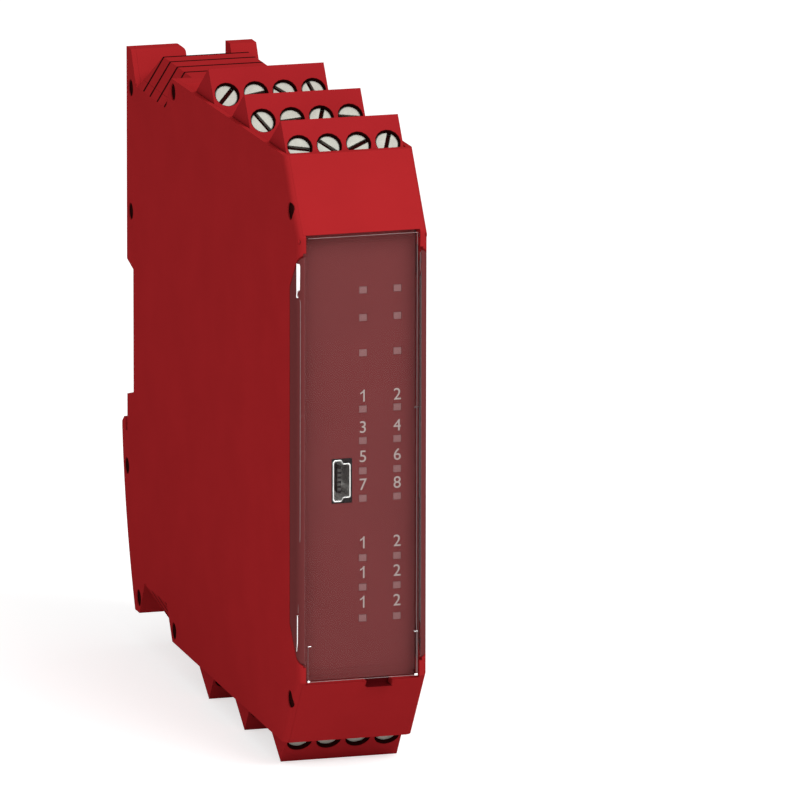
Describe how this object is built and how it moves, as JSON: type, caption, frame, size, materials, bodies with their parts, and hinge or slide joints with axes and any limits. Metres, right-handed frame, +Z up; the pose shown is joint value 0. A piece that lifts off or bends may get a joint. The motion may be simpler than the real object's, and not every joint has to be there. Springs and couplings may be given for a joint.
{
  "type": "safety controller module",
  "caption": "Narrow rail-mounted control module with angled pull-off terminal plugs, a hinged clear cover over an indicator panel, and a sprung rail catch.",
  "frame": {"origin": "middle of the 35 mm rail seat, on the plane where the housing rests on the rail", "axes": "+X to the right seen from the front, +Y back towards the rail, +Z up"},
  "size_m": [0.0226, 0.1109, 0.11],
  "materials": {
    "housing_red": "fine moulded texture",
    "plug_red": "fine moulded texture",
    "clear_cover": "polished, clear red",
    "label_red": "printed panel",
    "light_guide": "clear",
    "board": "lacquered",
    "socket_steel": "plated sheet",
    "spring_steel": "drawn wire",
    "screw_steel": "plated",
    "contact_brass": "plated",
    "can_aluminium": "satin",
    "black_plastic": "moulded",
    "header_plastic": "moulded",
    "catch_plastic": "moulded",
    "grey_plastic": "moulded"
  },
  "bodies": {
    "module": {"housing": "housing_red", "side_cover": "housing_red", "label_panel": "label_red", "light_guides": "light_guide", "indicator_leds": "light_guide", "front_board": "board", "logic_board": "board", "power_board": "board", "socket_shell": "socket_steel", "socket_tongue": "black_plastic", "board_link": "black_plastic", "chips": "black_plastic", "capacitors": "can_aluminium", "transformer": "black_plastic", "bus_block": "grey_plastic", "bus_contacts": "contact_brass", "catch_spring": "spring_steel", "header_top_1": "header_plastic", "header_pins_top_1": "contact_brass", "header_top_2": "header_plastic", "header_pins_top_2": "contact_brass", "header_top_3": "header_plastic", "header_pins_top_3": "contact_brass", "header_bottom_1": "header_plastic", "header_pins_bottom_1": "contact_brass", "header_bottom_2": "header_plastic", "header_pins_bottom_2": "contact_brass", "header_bottom_3": "header_plastic", "header_pins_bottom_3": "contact_brass"},
    "cover": {"front_cover": "clear_cover"},
    "catch": {"rail_catch": "catch_plastic"},
    "top_plug_1": {"plug_top_1": "plug_red", "plug_screws_top_1": "screw_steel", "clamp_cages_top_1": "contact_brass"},
    "top_plug_2": {"plug_top_2": "plug_red", "plug_screws_top_2": "screw_steel", "clamp_cages_top_2": "contact_brass"},
    "top_plug_3": {"plug_top_3": "plug_red", "plug_screws_top_3": "screw_steel", "clamp_cages_top_3": "contact_brass"},
    "bottom_plug_1": {"plug_bottom_1": "plug_red", "plug_screws_bottom_1": "screw_steel", "clamp_cages_bottom_1": "contact_brass"},
    "bottom_plug_2": {"plug_bottom_2": "plug_red", "plug_screws_bottom_2": "screw_steel", "clamp_cages_bottom_2": "contact_brass"},
    "bottom_plug_3": {"plug_bottom_3": "plug_red", "plug_screws_bottom_3": "screw_steel", "clamp_cages_bottom_3": "contact_brass"}
  },
  "joints": [
    {"name": "cover_hinge", "type": "hinge", "parent": "module", "child": "cover", "pos_m": [0, -0.1067, 0.0373], "axis": [-1, 0, 0], "range_deg": [0, 95]},
    {"name": "catch_slide", "type": "slide", "parent": "module", "child": "catch", "axis": [0, 0, -1], "range_m": [0, 0.003], "stiffness_N_per_m": 800, "springref_m": -0.003, "deforming": ["catch_spring"]},
    {"name": "top_plug_1_pull", "type": "slide", "parent": "module", "child": "top_plug_1", "axis": [0, 0.5736, 0.8192], "range_m": [0, 0.012]},
    {"name": "top_plug_2_pull", "type": "slide", "parent": "module", "child": "top_plug_2", "axis": [0, 0.5736, 0.8192], "range_m": [0, 0.012]},
    {"name": "top_plug_3_pull", "type": "slide", "parent": "module", "child": "top_plug_3", "axis": [0, 0.5736, 0.8192], "range_m": [0, 0.012]},
    {"name": "bottom_plug_1_pull", "type": "slide", "parent": "module", "child": "bottom_plug_1", "axis": [0, 0.5736, -0.8192], "range_m": [0, 0.012]},
    {"name": "bottom_plug_2_pull", "type": "slide", "parent": "module", "child": "bottom_plug_2", "axis": [0, 0.5736, -0.8192], "range_m": [0, 0.012]},
    {"name": "bottom_plug_3_pull", "type": "slide", "parent": "module", "child": "bottom_plug_3", "axis": [0, 0.5736, -0.8192], "range_m": [0, 0.012]}
  ]
}
